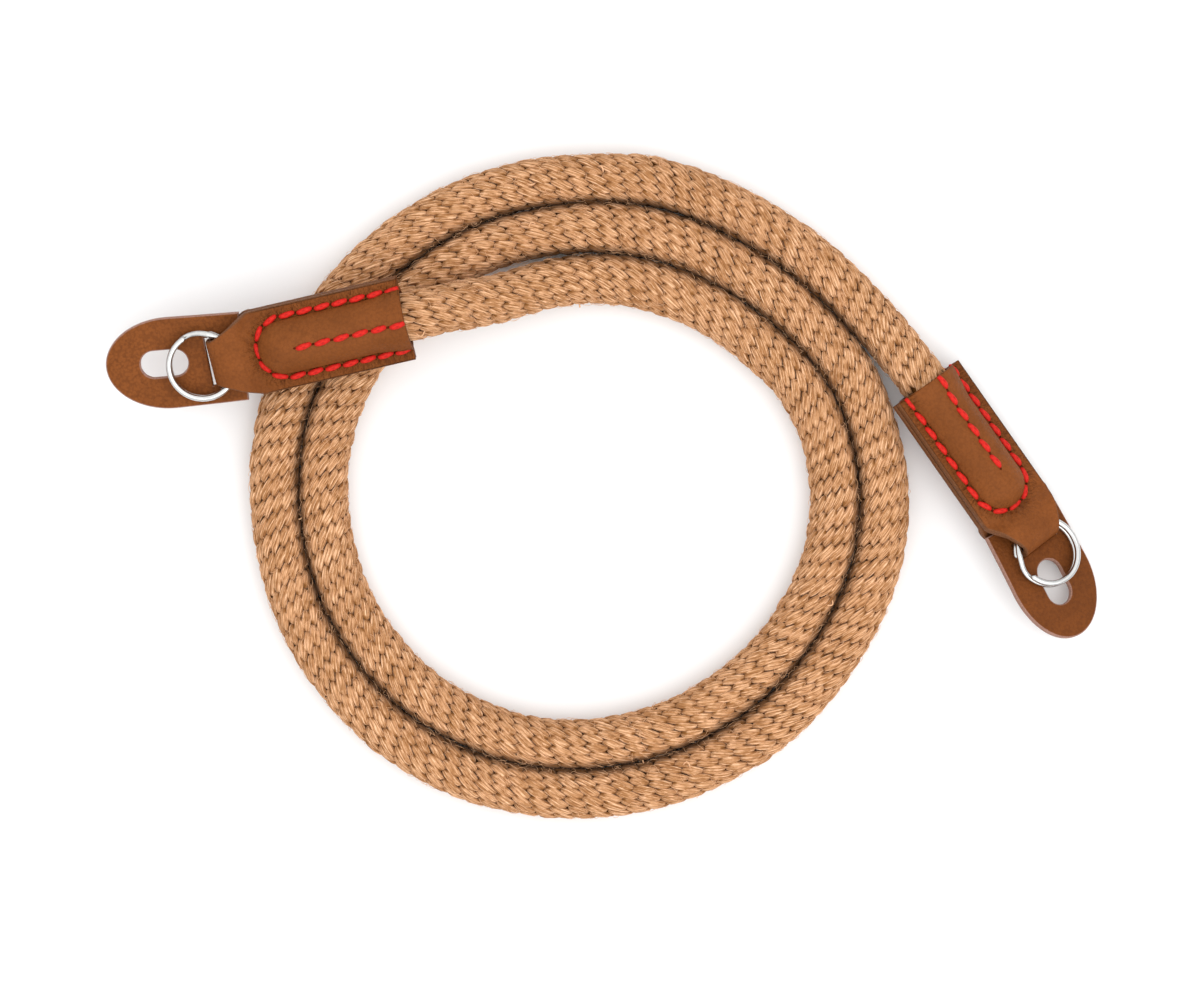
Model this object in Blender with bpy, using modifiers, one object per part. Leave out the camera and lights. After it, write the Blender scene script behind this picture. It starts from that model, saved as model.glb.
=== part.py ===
# Rope camera strap, lying in a loose coil on a flat surface.
#
# A thick braided rope runs about two and a third turns round the coil. Each of its ends is
# sewn into a folded leather end. The fold is a loop that holds a split ring and passes down
# through a slit in a leather protector tab, on which the ring lies.
#
# Metres, +Z up. The origin lies on the surface, under the middle of the whole strap.

import math
from collections import namedtuple

import bmesh
import bpy
from mathutils import Matrix, Vector

# Clearances
SEAT_GAP = 0.0003        # between two pieces that lie on each other
STRAND_GAP = 0.0005      # between neighbouring turns of the rope
FLOOR_GAP = 0.0004       # under the leather end that lies on the surface

# Rope
ROPE_DIAMETER = 0.0100
ROPE_END_DIAMETER = 0.0080       # squeezed by the leather
SQUEEZE_LENGTH = 0.0080          # from the mouth to where the rope is fully squeezed
SQUEEZE_HALF_WAY = 0.75          # share of the squeeze reached halfway along that length
ROPE_STEP = 0.0118               # spacing of the rope's points
INNER_RADIUS = 0.0432            # centre line of the innermost turn
COIL_CENTRE = Vector((-0.00515, 0.00025, 0.0))

# Leather ends
LEATHER = 0.0015
POCKET_SLACK = 0.0005            # between the rope and the leather round it
FLARE_LENGTH = 0.0080            # the mouth opens from the pocket over this length
SEAM_FILLET = 0.0010
END_WIDTH = 0.0177
SEAM_LENGTH = 0.0310             # from the mouth to where the pocket is sewn shut
POCKET_CLOSING = 0.0050          # from the rope's end to there
LOOP_LENGTH = 0.0106             # from there to the outside of the fold
TONGUE_WIDTH = 0.0096            # at the fold
TAPER_AFTER_SEAM = 0.0012        # from the seam to where the strip narrows
TAPER_LENGTH = 0.0080
LOOP_DROP = 0.0020               # floor of the loop, below the seam
BEND_REACH = 0.0034              # length of the rounded fold
BEND_POWER = 2.6                 # 2 is an ellipse, more is squarer
TOP_RAMP = 0.8                   # share of the way from the seam to the fold in which
BOTTOM_RAMP = 0.4                # each layer leaves the seam

# Split rings
RING_DIAMETER = 0.0150
RING_WIRE = 0.00125
RING_TURN_GAP = 0.0001
RING_PAST_FOLD = 0.0018          # from the fold to the ring's middle
RING_CROSSING = math.radians(-93)    # where one coil climbs to the other
RING_CROSSING_HALF = math.radians(20)
RING_STEPS = 44

# Protector tabs
TAB_LEATHER = 0.0014
TAB_WIDTH = 0.0193
TAB_NECK_WIDTH = 0.0187
TAB_TIP_LENGTH = 0.0136          # the rounded tip
TAB_TUCK = 0.0068                # from the tab's square end to the fold
LEFT_TAB_LENGTH = 0.0289
RIGHT_TAB_LENGTH = 0.0272
TAB_OFF_CENTRE = 0.0004          # above 0 is to the left of the tongue's middle
TAB_TURN = math.radians(-7.6)    # the tab lies askew under the tongue
TAB_DROOP = 0.0012               # at the tip
SLOT_LENGTH = 0.0100
SLOT_WIDTH = 0.0057
SLOT_FROM_TIP = 0.0123           # from the tip to the slot's middle
SLIT_LENGTH = 0.0036             # along the strap
SLIT_TURN = math.radians(-3)     # the slit's far edge against the fold

# The route of the rope. angle: degrees round the coil. lane: rope spacings out from the
# innermost turn. lift: share of the climb from the surface onto the turns below.
Station = namedtuple("Station", "angle lane lift")
RIGHT_MOUTH = Station(16.35, 3.07, 0.0)
LEFT_MOUTH = Station(856.1, 0.645, 1.0)
ROUTE = (
    Station(30, 2.606, 0.0),
    Station(40, 2.410, 0.0),
    Station(50, 2.275, 0.0),
    Station(65, 2.164, 0.0),
    Station(80, 2.106, 0.0),
    Station(110, 1.978, 0.0),
    Station(140, 1.955, 0.0),
    Station(170, 2.006, 0.0),
    Station(200, 2.046, 0.0),
    Station(225, 2.100, 0.0),
    Station(250, 2.116, 0.0),
    Station(280, 2.064, 0.0),
    Station(310, 2.046, 0.0),
    Station(340, 2.036, 0.0),
    Station(360, 1.966, 0.0),
    Station(380, 1.766, 0.0),
    Station(395, 1.490, 0.0),
    Station(410, 1.268, 0.0),
    Station(430, 1.146, 0.0),
    Station(450, 1.038, 0.0),
    Station(475, 0.972, 0.0),
    Station(500, 0.942, 0.0),
    Station(530, 1.002, 0.0),
    Station(560, 1.044, 0.0),
    Station(590, 1.096, 0.0),
    Station(620, 1.086, 0.0),
    Station(650, 1.006, 0.0),
    Station(680, 1.002, 0.0),
    Station(705, 1.010, 0.0),
    Station(725, 0.925, 0.0),
    Station(742, 0.733, 0.0),
    Station(758, 0.430, 0.0),
    Station(775, 0.215, 0.0),
    Station(795, 0.062, 0.0),
    Station(808, -0.014, 0.05),
    Station(820, -0.070, 0.20),
    Station(833, -0.074, 0.46),
    Station(846, 0.226, 0.80),
)

# How each leather end lies. heading: degrees, pointing away from the rope. dip: degrees down
# towards the tab. roll: degrees, lowering the end's left side. tab_length: of its protector.
EndPose = namedtuple("EndPose", "side mouth heading dip roll tab_length")
ENDS = (
    EndPose("right", RIGHT_MOUTH, -54.9, 1.5, 24.0, RIGHT_TAB_LENGTH),
    EndPose("left", LEFT_MOUTH, 192.8, 3.0, 14.0, LEFT_TAB_LENGTH),
)

# How finely the curved forms are divided
ACROSS_SHARES = (0.19, 0.36, 0.48, 0.56, 0.65, 0.80, 1.0)   # of half the strip's width
POCKET_STEPS = 7
POCKET_END_STEPS = 5
TONGUE_STEPS = 5
BEND_STEPS = 10
TAB_CUTS = 8
TIP_STEPS = 20
SLOT_ARC_STEPS = 8
BEVEL_RESOLUTION = 4
WIRE_RESOLUTION = 2
WELD = 0.000001

# Sizes that follow from the ones above, along an end from its mouth
ROPE_IN_LEATHER = SEAM_LENGTH - POCKET_CLOSING
END_LENGTH = SEAM_LENGTH + LOOP_LENGTH
TAPER_START = SEAM_LENGTH + TAPER_AFTER_SEAM
TAB_START = END_LENGTH - TAB_TUCK
RING_CENTRE = END_LENGTH + RING_PAST_FOLD
BEND_CENTRE = END_LENGTH - LEATHER / 2 - BEND_REACH

# Sizes that follow from the ones above, across and up
SEAM_HEIGHT = SEAT_GAP / 2 + LEATHER / 2
MOUTH_RADIUS = ROPE_DIAMETER / 2 + POCKET_SLACK + LEATHER / 2
POCKET_RADIUS = ROPE_END_DIAMETER / 2 + POCKET_SLACK + LEATHER / 2
RING_STACK = 2 * RING_WIRE + RING_TURN_GAP
LOOP_INSIDE = TAB_LEATHER + RING_STACK + 3 * SEAT_GAP
LOOP_TOP = LOOP_INSIDE - LOOP_DROP + LEATHER / 2
LOOP_BOTTOM = -LOOP_DROP - LEATHER / 2
TAB_HEIGHT = -LOOP_DROP + SEAT_GAP + TAB_LEATHER / 2
RING_HEIGHT = TAB_HEIGHT + TAB_LEATHER / 2 + SEAT_GAP + RING_STACK / 2
ROPE_REST = ROPE_DIAMETER / 2
TOP_MOUTH_HEIGHT = ROPE_DIAMETER + SEAT_GAP + MOUTH_RADIUS + LEATHER / 2
LOW_MOUTH_HEIGHT = FLOOR_GAP + MOUTH_RADIUS + LEATHER / 2


def clear_scene():
    for obj in list(bpy.data.objects):
        bpy.data.objects.remove(obj, do_unlink=True)


def new_material(name, colour, roughness, metallic=0.0):
    material = bpy.data.materials.new(name)
    material.use_nodes = True
    shader = material.node_tree.nodes["Principled BSDF"]
    shader.inputs["Base Color"].default_value = (*colour, 1.0)
    shader.inputs["Roughness"].default_value = roughness
    shader.inputs["Metallic"].default_value = metallic
    return material


def mix(low, high, share):
    return low + (high - low) * share


def ease(share):
    share = min(max(share, 0.0), 1.0)
    return share * share * (3 - 2 * share)


def smooth_max(value, width):
    """The larger of value and 0, with the corner between them rounded."""
    return (value + math.sqrt(value * value + width * width)) / 2


def coil_point(station, height):
    radius = INNER_RADIUS + station.lane * (ROPE_DIAMETER + STRAND_GAP)
    angle = math.radians(station.angle)
    return COIL_CENTRE + Vector((radius * math.cos(angle), radius * math.sin(angle), height))


def end_frame(pose):
    """From an end's own axes to the world: x from the mouth to the tab, z up out of it."""
    mouth = coil_point(pose.mouth, mix(LOW_MOUTH_HEIGHT, TOP_MOUTH_HEIGHT, pose.mouth.lift))
    turn = Matrix.Rotation(math.radians(pose.heading), 4, "Z")
    dip = Matrix.Rotation(math.radians(pose.dip), 4, "Y")
    roll = Matrix.Rotation(math.radians(-pose.roll), 4, "X")
    return Matrix.Translation(mouth) @ turn @ dip @ roll


def smooth_curve(knots, step):
    """Points about a step apart on a centripetal Catmull-Rom curve through the knots."""
    first = knots[0] * 2 - knots[1]
    last = knots[-1] * 2 - knots[-2]
    padded = [first] + knots + [last]
    points = [knots[0]]
    for before, start, end, after in zip(padded, padded[1:], padded[2:], padded[3:]):
        times = [0.0]
        for a, b in ((before, start), (start, end), (end, after)):
            times.append(times[-1] + math.sqrt((b - a).length))
        count = max(1, round((end - start).length / step))
        for index in range(1, count + 1):
            t = mix(times[1], times[2], index / count)
            a1 = before.lerp(start, (t - times[0]) / (times[1] - times[0]))
            a2 = start.lerp(end, (t - times[1]) / (times[2] - times[1]))
            a3 = end.lerp(after, (t - times[2]) / (times[3] - times[2]))
            b1 = a1.lerp(a2, (t - times[0]) / (times[2] - times[0]))
            b2 = a2.lerp(a3, (t - times[1]) / (times[3] - times[1]))
            points.append(b1.lerp(b2, (t - times[1]) / (times[2] - times[1])))
    return points


def tube(name, points, radii, resolution, material, collection):
    """A round bar through the points, as a curve with closed ends."""
    curve = bpy.data.curves.new(name, "CURVE")
    curve.dimensions = "3D"
    curve.bevel_depth = 1.0
    curve.bevel_resolution = resolution
    curve.use_fill_caps = True
    spline = curve.splines.new("POLY")
    spline.points.add(len(points) - 1)
    for target, point, radius in zip(spline.points, points, radii):
        target.co = (*point, 1.0)
        target.radius = radius
    curve.materials.append(material)
    obj = bpy.data.objects.new(name, curve)
    collection.objects.link(obj)
    return obj


def build_rope(frames, material, collection):
    """The rope: into the right end, round the coil, and up into the left end."""
    climb = TOP_MOUTH_HEIGHT - ROPE_REST
    right, left = frames
    end_radius = ROPE_END_DIAMETER / 2
    half_squeezed = mix(ROPE_DIAMETER / 2, end_radius, SQUEEZE_HALF_WAY)
    depths = (
        (SQUEEZE_LENGTH / 2, half_squeezed),
        (SQUEEZE_LENGTH, end_radius),
        (ROPE_IN_LEATHER, end_radius),
    )
    knots = [right.translation]
    knots += [coil_point(station, ROPE_REST + climb * station.lift) for station in ROUTE]
    knots += [left.translation]
    lead_in = right @ Vector((ROPE_STEP, 0, 0))
    lead_out = left @ Vector((ROPE_STEP, 0, 0))
    free = smooth_curve([lead_in] + knots + [lead_out], ROPE_STEP)[1:-1]
    radii = [ROPE_DIAMETER / 2] * len(free)
    for depth, radius in depths:
        inside = Vector((depth, 0, 0))
        free = [right @ inside] + free + [left @ inside]
        radii = [radius] + radii + [radius]
    return tube("rope", free, radii, BEVEL_RESOLUTION, material, collection)


def half_width(along):
    """Half the leather strip's width at a distance from the mouth."""
    share = min(max((along - TAPER_START) / TAPER_LENGTH, 0.0), 1.0)
    return mix(END_WIDTH, TONGUE_WIDTH, share) / 2


def pocket_radius(along):
    """Radius of the bulge over the rope, to the middle of the leather."""
    radius = mix(MOUTH_RADIUS, POCKET_RADIUS, ease(along / FLARE_LENGTH))
    past = (along - ROPE_IN_LEATHER) / POCKET_CLOSING
    return radius * math.sqrt(max(1 - max(past, 0.0) ** 2, 0.0))


def bulge(radius, across):
    """How far the leather stands above the seam at a distance from the rope's axis."""
    crown = math.sqrt(max(radius * radius - across * across, 0.0))
    lifted = smooth_max(crown - SEAM_HEIGHT, SEAM_FILLET)
    return max(lifted - smooth_max(-SEAM_HEIGHT, SEAM_FILLET), 0.0)


def strip_stations():
    """(along, height, bulge side) down the strip: top layer, fold, bottom layer."""
    layer = [ROPE_IN_LEATHER * i / POCKET_STEPS for i in range(POCKET_STEPS)]
    for i in range(POCKET_END_STEPS + 1):
        closed = math.sin(math.pi / 2 * i / POCKET_END_STEPS)
        layer.append(ROPE_IN_LEATHER + POCKET_CLOSING * closed)
    tongue = BEND_CENTRE - SEAM_LENGTH
    layer += [SEAM_LENGTH + tongue * i / TONGUE_STEPS for i in range(1, TONGUE_STEPS)]

    def height(along, loop_height, ramp):
        return mix(SEAM_HEIGHT, loop_height, ease((along - SEAM_LENGTH) / (tongue * ramp)))

    top = [(along, height(along, LOOP_TOP, TOP_RAMP), 1) for along in layer]
    bottom = [(along, -height(along, -LOOP_BOTTOM, BOTTOM_RAMP), -1) for along in reversed(layer)]
    bend = []
    middle = (LOOP_TOP + LOOP_BOTTOM) / 2
    half = (LOOP_TOP - LOOP_BOTTOM) / 2
    for i in range(BEND_STEPS + 1):
        angle = math.pi / 2 - math.pi * i / BEND_STEPS
        out = max(math.cos(angle), 0.0) ** (2 / BEND_POWER)
        up = abs(math.sin(angle)) ** (2 / BEND_POWER)
        bend.append((BEND_CENTRE + BEND_REACH * out, middle + math.copysign(half * up, angle), 0))
    return top + bend + bottom


def build_leather_end(name, frame, material, collection):
    """The folded strip, as a surface through the middle of the leather, then thickened."""
    stations = strip_stations()
    shares = [-share for share in reversed(ACROSS_SHARES)] + [0.0] + list(ACROSS_SHARES)
    rows = len(stations) - 1
    columns = len(shares) - 1
    bm = bmesh.new()
    bmesh.ops.create_grid(bm, x_segments=rows, y_segments=columns, size=0.5)
    for vert in bm.verts:
        along, height, side = stations[round((vert.co.x + 0.5) * rows)]
        across = half_width(along) * shares[round((vert.co.y + 0.5) * columns)]
        rise = side * bulge(pocket_radius(along), across) if side else 0.0
        vert.co = (along, across, height + rise)
    mesh = bpy.data.meshes.new(name)
    bm.to_mesh(mesh)
    bm.free()
    mesh.shade_smooth()
    mesh.materials.append(material)
    obj = bpy.data.objects.new(name, mesh)
    collection.objects.link(obj)
    obj.matrix_world = frame
    wall = obj.modifiers.new("Wall", "SOLIDIFY")
    wall.thickness = LEATHER
    wall.offset = 0.0
    wall.use_even_offset = True
    return obj


def build_ring(name, frame, material, collection):
    """A split ring: one coil, a short climb, and the other coil, of one round wire."""
    start = RING_CROSSING_HALF
    end = 4 * math.pi - RING_CROSSING_HALF
    radius = (RING_DIAMETER - RING_WIRE) / 2
    rise = RING_WIRE + RING_TURN_GAP
    points = []
    for i in range(RING_STEPS + 1):
        turned = mix(start, end, i / RING_STEPS)
        climbed = (turned - 2 * math.pi) / (2 * RING_CROSSING_HALF) + 0.5
        angle = RING_CROSSING - turned
        points.append(Vector((
            RING_CENTRE + radius * math.cos(angle),
            radius * math.sin(angle),
            RING_HEIGHT + rise * (ease(climbed) - 0.5),
        )))
    radii = [RING_WIRE / 2] * len(points)
    ring = tube(name, points, radii, WIRE_RESOLUTION, material, collection)
    ring.matrix_world = frame
    return ring


def tab_outline(length):
    """The tab from above: square at x = 0, a half ellipse at the tip."""
    shoulder = length - TAB_TIP_LENGTH
    outline = [(0.0, -TAB_NECK_WIDTH / 2)]
    for i in range(TIP_STEPS + 1):
        angle = math.pi * i / TIP_STEPS - math.pi / 2
        x = shoulder + TAB_TIP_LENGTH * math.cos(angle)
        outline.append((x, TAB_WIDTH / 2 * math.sin(angle)))
    outline.append((0.0, TAB_NECK_WIDTH / 2))
    return outline


def slot_outline(length):
    """The slot for a lug: two half circles joined by straight sides."""
    centre = length - SLOT_FROM_TIP
    straight = (SLOT_LENGTH - SLOT_WIDTH) / 2
    outline = []
    for end in (1, -1):
        for i in range(SLOT_ARC_STEPS + 1):
            angle = math.pi * (i / SLOT_ARC_STEPS - 0.5)
            x = centre + end * (straight + SLOT_WIDTH / 2 * math.cos(angle))
            outline.append((x, end * SLOT_WIDTH / 2 * math.sin(angle)))
    return outline


def slit_outline():
    """The slit that the tongue passes through, lined up with the tongue's fold."""
    half_across = TONGUE_WIDTH / 2 + SEAT_GAP
    slack = half_across * math.sin(-SLIT_TURN)
    to_tab = Matrix.Rotation(-TAB_TURN, 2)
    turn = Matrix.Rotation(SLIT_TURN, 2)
    middle = Vector((TAB_TUCK + SEAT_GAP + slack - SLIT_LENGTH / 2, -TAB_OFF_CENTRE))
    corners = []
    for x, y in ((-1, -1), (1, -1), (1, 1), (-1, 1)):
        corner = middle + turn @ Vector((x * SLIT_LENGTH / 2, y * half_across))
        corners.append(tuple(to_tab @ corner))
    return corners


def build_tab(name, frame, length, material, collection):
    """A flat outline with its two holes, given its thickness, then bent down at the tip."""
    curve = bpy.data.curves.new(name, "CURVE")
    curve.dimensions = "2D"
    curve.fill_mode = "BOTH"
    curve.extrude = TAB_LEATHER / 2
    for outline in (tab_outline(length), slot_outline(length), slit_outline()):
        spline = curve.splines.new("POLY")
        spline.points.add(len(outline) - 1)
        for target, (x, y) in zip(spline.points, outline):
            target.co = (x, y, 0.0, 1.0)
        spline.use_cyclic_u = True
    flat = bpy.data.objects.new(name + "_outline", curve)
    collection.objects.link(flat)
    evaluated = flat.evaluated_get(bpy.context.evaluated_depsgraph_get())
    mesh = bpy.data.meshes.new_from_object(evaluated)
    bpy.data.objects.remove(flat, do_unlink=True)

    bm = bmesh.new()
    bm.from_mesh(mesh)
    bmesh.ops.remove_doubles(bm, verts=bm.verts, dist=WELD)
    bend_length = length - TAB_TUCK
    for i in range(TAB_CUTS):
        cut = Vector((TAB_TUCK + bend_length * i / TAB_CUTS, 0.0, 0.0))
        geometry = bm.verts[:] + bm.edges[:] + bm.faces[:]
        bmesh.ops.bisect_plane(bm, geom=geometry, dist=WELD, plane_co=cut, plane_no=(1, 0, 0))
    for vert in bm.verts:
        share = max((vert.co.x - TAB_TUCK) / bend_length, 0.0)
        vert.co.z -= TAB_DROOP * share * share
    bmesh.ops.recalc_face_normals(bm, faces=bm.faces)
    bm.to_mesh(mesh)
    bm.free()
    mesh.name = name
    mesh.materials.append(material)
    tab = bpy.data.objects.new(name, mesh)
    collection.objects.link(tab)
    start = Matrix.Translation((TAB_START, TAB_OFF_CENTRE, TAB_HEIGHT))
    place = start @ Matrix.Rotation(TAB_TURN, 4, "Z")
    tab.matrix_world = frame @ place
    return tab


def main():
    clear_scene()
    collection = bpy.data.collections.new("rope_camera_strap")
    bpy.context.scene.collection.children.link(collection)

    rope_cotton = new_material("rope_cotton", (0.62, 0.36, 0.18), 0.9)
    end_leather = new_material("end_leather", (0.25, 0.08, 0.025), 0.55)
    tab_leather = new_material("tab_leather", (0.22, 0.07, 0.025), 0.6)
    ring_steel = new_material("ring_steel", (0.75, 0.75, 0.76), 0.2, metallic=1.0)

    frames = [end_frame(pose) for pose in ENDS]
    build_rope(frames, rope_cotton, collection)
    for pose, frame in zip(ENDS, frames):
        build_leather_end("leather_end_" + pose.side, frame, end_leather, collection)
        build_ring("split_ring_" + pose.side, frame, ring_steel, collection)
        build_tab("protector_" + pose.side, frame, pose.tab_length, tab_leather, collection)


main()
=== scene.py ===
# Looks of the rope camera strap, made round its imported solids. Metres, +Z up.

import math
from collections import namedtuple

import bmesh
import bpy
import numpy as np
from mathutils import Matrix, Vector


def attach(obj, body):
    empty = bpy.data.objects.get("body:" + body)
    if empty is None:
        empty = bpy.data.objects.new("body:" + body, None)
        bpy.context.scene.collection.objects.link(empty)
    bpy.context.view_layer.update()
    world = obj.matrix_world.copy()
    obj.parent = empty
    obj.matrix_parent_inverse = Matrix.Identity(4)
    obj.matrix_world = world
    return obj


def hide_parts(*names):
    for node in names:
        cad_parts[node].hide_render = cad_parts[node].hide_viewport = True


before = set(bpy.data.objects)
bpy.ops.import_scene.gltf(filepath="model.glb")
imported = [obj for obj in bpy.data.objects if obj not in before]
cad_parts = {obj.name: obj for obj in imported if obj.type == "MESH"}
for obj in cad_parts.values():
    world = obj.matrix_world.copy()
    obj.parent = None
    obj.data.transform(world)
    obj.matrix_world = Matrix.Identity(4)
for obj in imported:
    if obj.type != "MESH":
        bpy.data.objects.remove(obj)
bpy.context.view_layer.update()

# Camera, straight above the coil
PHOTO_PIXEL = 0.00021  # at the height of the rope's middle
PHOTO_WIDTH = 1200
PHOTO_CENTRE = (-0.00096, -0.00290)
CAMERA_HEIGHT = 0.90
SENSOR_WIDTH = 36.0

# Clearances and rope, as in the solids
SEAT_GAP = 0.0003
STRAND_GAP = 0.0005
FLOOR_GAP = 0.0004
ROPE_DIAMETER = 0.0100
ROPE_END_DIAMETER = 0.0080
SQUEEZE_LENGTH = 0.0080
ROPE_STEP = 0.0010
INNER_RADIUS = 0.0432
COIL_CENTRE = Vector((-0.00515, 0.00025, 0.0))

# Leather ends, as in the solids
LEATHER = 0.0015
POCKET_SLACK = 0.0005
FLARE_LENGTH = 0.0080
SEAM_FILLET = 0.0010
END_WIDTH = 0.0177
SEAM_LENGTH = 0.0310
POCKET_CLOSING = 0.0050
LOOP_LENGTH = 0.0106
TONGUE_WIDTH = 0.0096
TAPER_AFTER_SEAM = 0.0012
TAPER_LENGTH = 0.0080
LOOP_DROP = 0.0020
BEND_REACH = 0.0034
BEND_POWER = 2.6
TOP_RAMP = 0.8
BOTTOM_RAMP = 0.4

# Split rings and protector tabs, as in the solids
RING_DIAMETER = 0.0150
RING_WIRE = 0.00125
RING_TURN_GAP = 0.0001
RING_PAST_FOLD = 0.0018
RING_CROSSING = math.radians(-93)
RING_CROSSING_HALF = math.radians(20)
TAB_LEATHER = 0.0014
TAB_TUCK = 0.0068
LEFT_TAB_LENGTH = 0.0289
RIGHT_TAB_LENGTH = 0.0272
TAB_OFF_CENTRE = 0.0004  # above 0 is to the left of the tongue's middle
TAB_WIDTH = 0.0193
TAB_NECK_WIDTH = 0.0187
TAB_TIP_LENGTH = 0.0136
TAB_TURN = math.radians(-7.6)
TAB_DROOP = 0.0012
SLOT_LENGTH = 0.0100
SLOT_WIDTH = 0.0057
SLOT_FROM_TIP = 0.0123
SLIT_LENGTH = 0.0036
SLIT_TURN = math.radians(-3)
OPEN_SLIT = (SEAT_GAP, SLIT_TURN)  # gap at the fold, and turn
CLOSED_SLIT = (0.00006, 0.0)

# The route of the rope. angle: degrees round the coil. lane: rope spacings out from the
# innermost turn. lift: share of the climb from the surface onto the turns below.
Station = namedtuple("Station", "angle lane lift", defaults=(0.0,))
RIGHT_MOUTH = Station(16.35, 3.07)
LEFT_MOUTH = Station(856.1, 0.645, 1.0)
ROUTE = (
    Station(30, 2.606), Station(40, 2.410), Station(50, 2.275), Station(65, 2.164),
    Station(80, 2.106), Station(110, 1.978), Station(140, 1.955), Station(170, 2.006),
    Station(200, 2.046), Station(225, 2.100), Station(250, 2.116), Station(280, 2.064),
    Station(310, 2.046), Station(340, 2.036), Station(360, 1.966), Station(380, 1.766),
    Station(395, 1.490), Station(410, 1.268), Station(430, 1.146), Station(450, 1.038),
    Station(475, 0.972), Station(500, 0.942), Station(530, 1.002), Station(560, 1.044),
    Station(590, 1.096), Station(620, 1.086), Station(650, 1.006), Station(680, 1.002),
    Station(705, 1.010), Station(725, 0.925), Station(742, 0.733), Station(758, 0.430),
    Station(775, 0.215), Station(795, 0.062), Station(808, -0.014, 0.05), Station(820, -0.070, 0.20),
    Station(833, -0.074, 0.46), Station(846, 0.226, 0.80),
)

# How each leather end lies, and where the first stitches of its rows are, from the mouth.
EndPose = namedtuple("EndPose", "side mouth heading dip roll tab_length left_row right_row centre_row")
ENDS = (
    EndPose("right", RIGHT_MOUTH, -54.9, 1.5, 24.0, RIGHT_TAB_LENGTH, 0.0012, 0.0014, 0.0014),
    EndPose("left", LEFT_MOUTH, 192.8, 3.0, 14.0, LEFT_TAB_LENGTH, 0.0021, 0.0013, 0.0015),
)

# Points along the rope
ROPE_LEAD = 0.0118  # from a mouth to the curve's guide point in the leather
INSIDE_STEPS = 26  # from a mouth to the rope's end in the leather

# The braid
COLUMNS = 14
STITCH_PITCH = 0.0036  # along the rope
COLUMN_LEAD = 3 / COLUMNS  # of the pitch, from one column to the next
COLUMN_TWIST = math.radians(-3.6)  # round the rope, for each pitch
STITCH_TURN = math.radians(30)  # of a stitch against the rope's axis
STITCH_LENGTH = 0.0057
STITCH_HALF_WIDTH = 0.00116
STITCH_NARROWING = 0.68  # of its width, towards its ends
BRAID_TOP = 0.00508  # from the rope's axis to a stitch's crown
BRAID_EDGE = 0.00462  # to its long edges
BRAID_DIVE = 0.0013  # how far its ends go under
ARCH_POWER = 2.6  # of its section, where 2 is an ellipse
HOOK_DEPTH = 0.00030  # of the pit at two opposite corners of a stitch
HOOK_RANGE = (0.24, 0.58)  # of the shares along and across, multiplied
STITCH_BEND = 0.00032  # sideways, towards the next stitch in line
TICK_RANGE = (0.44, 0.66)  # of the share along, where a stitch's painted shade starts and is full
PLY_DEPTH = 0.00008
PLIES = 3
PLY_TWIST = 1.1  # radians, from a stitch's middle to its end
LENGTH_SPREAD = 0.05  # shares, from stitch to stitch
WIDTH_SPREAD = 0.04
TURN_SPREAD = math.radians(3.0)
CROWN_SPREAD = 0.00009
LOWEST_STITCH = 0.00005  # above the surface that the strap lies on
STITCH_RINGS = 8
STITCH_ACROSS = 13
STRAND_PIECES = 4
FIBRE_SHIFT = 1.37  # of the fibres' pattern, from stitch to stitch
FIBRE_ROWS = 53  # of that pattern, side by side
CORE_RADIUS = 0.0042
CORE_EVERY = 3  # of the rope's points, for its inside
BRAID_INSIDE = 0.0045  # how far the braid is modelled into the leather
CREVICE = (0.72, 0.945)  # sines of the angle from the top, where the crevice between turns gets painted shade
NEXT_TURN = 0.1  # the least distance along the rope to another turn
BESIDE = 0.9  # cosine of the angle within which a turn lies beside
MOST_SWELL = 0.00053  # of the rope's radius, where turns press on each other
PRESSED_ROOM = 1.6 * MOST_SWELL  # the most room beside a side that counts as pressed

# Loose fibres
STRAY_FIBRES = 2600
STRAY_AROUND = 0.60  # of half a turn, to both sides of the rope's top
STRAY_LENGTHS = (0.0010, 0.0032)
STRAY_LIFTS = (0.00008, 0.00042)
STRAY_RADIUS = 0.000035
STRAY_HEADING = 0.5  # radians, the spread against the stitches
STRAY_CURL = 0.5
STRAY_ROOT = 0.00022  # how deep in the braid the ends are
STRAY_RISE = 0.0002  # of the middle, besides its lift
POPPED_PLIES = 9
POPPED_LENGTH = 0.0017
POPPED_LIFT = 0.0006
POPPED_RADIUS = 0.00016
FIBRE_STEPS = 6
FIBRE_SIDES = 4
FIBRE_PROBE = 0.001  # a step outwards that only gives a direction

# Sewing
THREAD_LENGTH = 0.0035
THREAD_WIDTH = 0.00120
THREAD_SLANT = math.radians(7)
THREAD_FLAT = 0.78  # its height against its width
THREAD_END = 0.42  # its width at its ends, against its middle
THREAD_END_POWER = 3.6  # how near its ends it narrows
THREAD_SEAT = 0.30  # of its radius, from the leather up to its middle
THREAD_SINK = 0.00028  # how far its ends go down
THREAD_LOBES = 0.09  # of its radius, the height of its two plies
THREAD_TWIST = 2.2  # radians, from its middle to its end
THREAD_PROBE = 0.0002  # a step along it that only gives its direction
THREAD_RINGS = 11
THREAD_SIDES = 10
ROW_OFFSET = 0.0065  # of the two long rows from the middle
ROW_STRAIGHT = SEAM_LENGTH + 0.0007 - ROW_OFFSET
ROW_TOTAL = 2 * ROW_STRAIGHT + math.pi * ROW_OFFSET
ROW_TURN_STITCHES = 19  # all the way round
CENTRE_PITCH = 0.0040
CENTRE_STITCHES = 6
HOLE_REACH = CENTRE_PITCH / 2 - 0.00012  # from a stitch's middle to its holes
HOLE_MARGIN = 0.0003  # from the mouth, at least
HOLE_LIFT = 0.00006
HOLE_RINGS = ((0.00004, 0.00016), (0.0, 0.00034), (-0.0002, 0.00034))  # height, radius
HOLE_SHAPE = (0.95, 0.72)  # of the radius, along and across the stitch
HOLE_SIDES = 10
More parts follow.
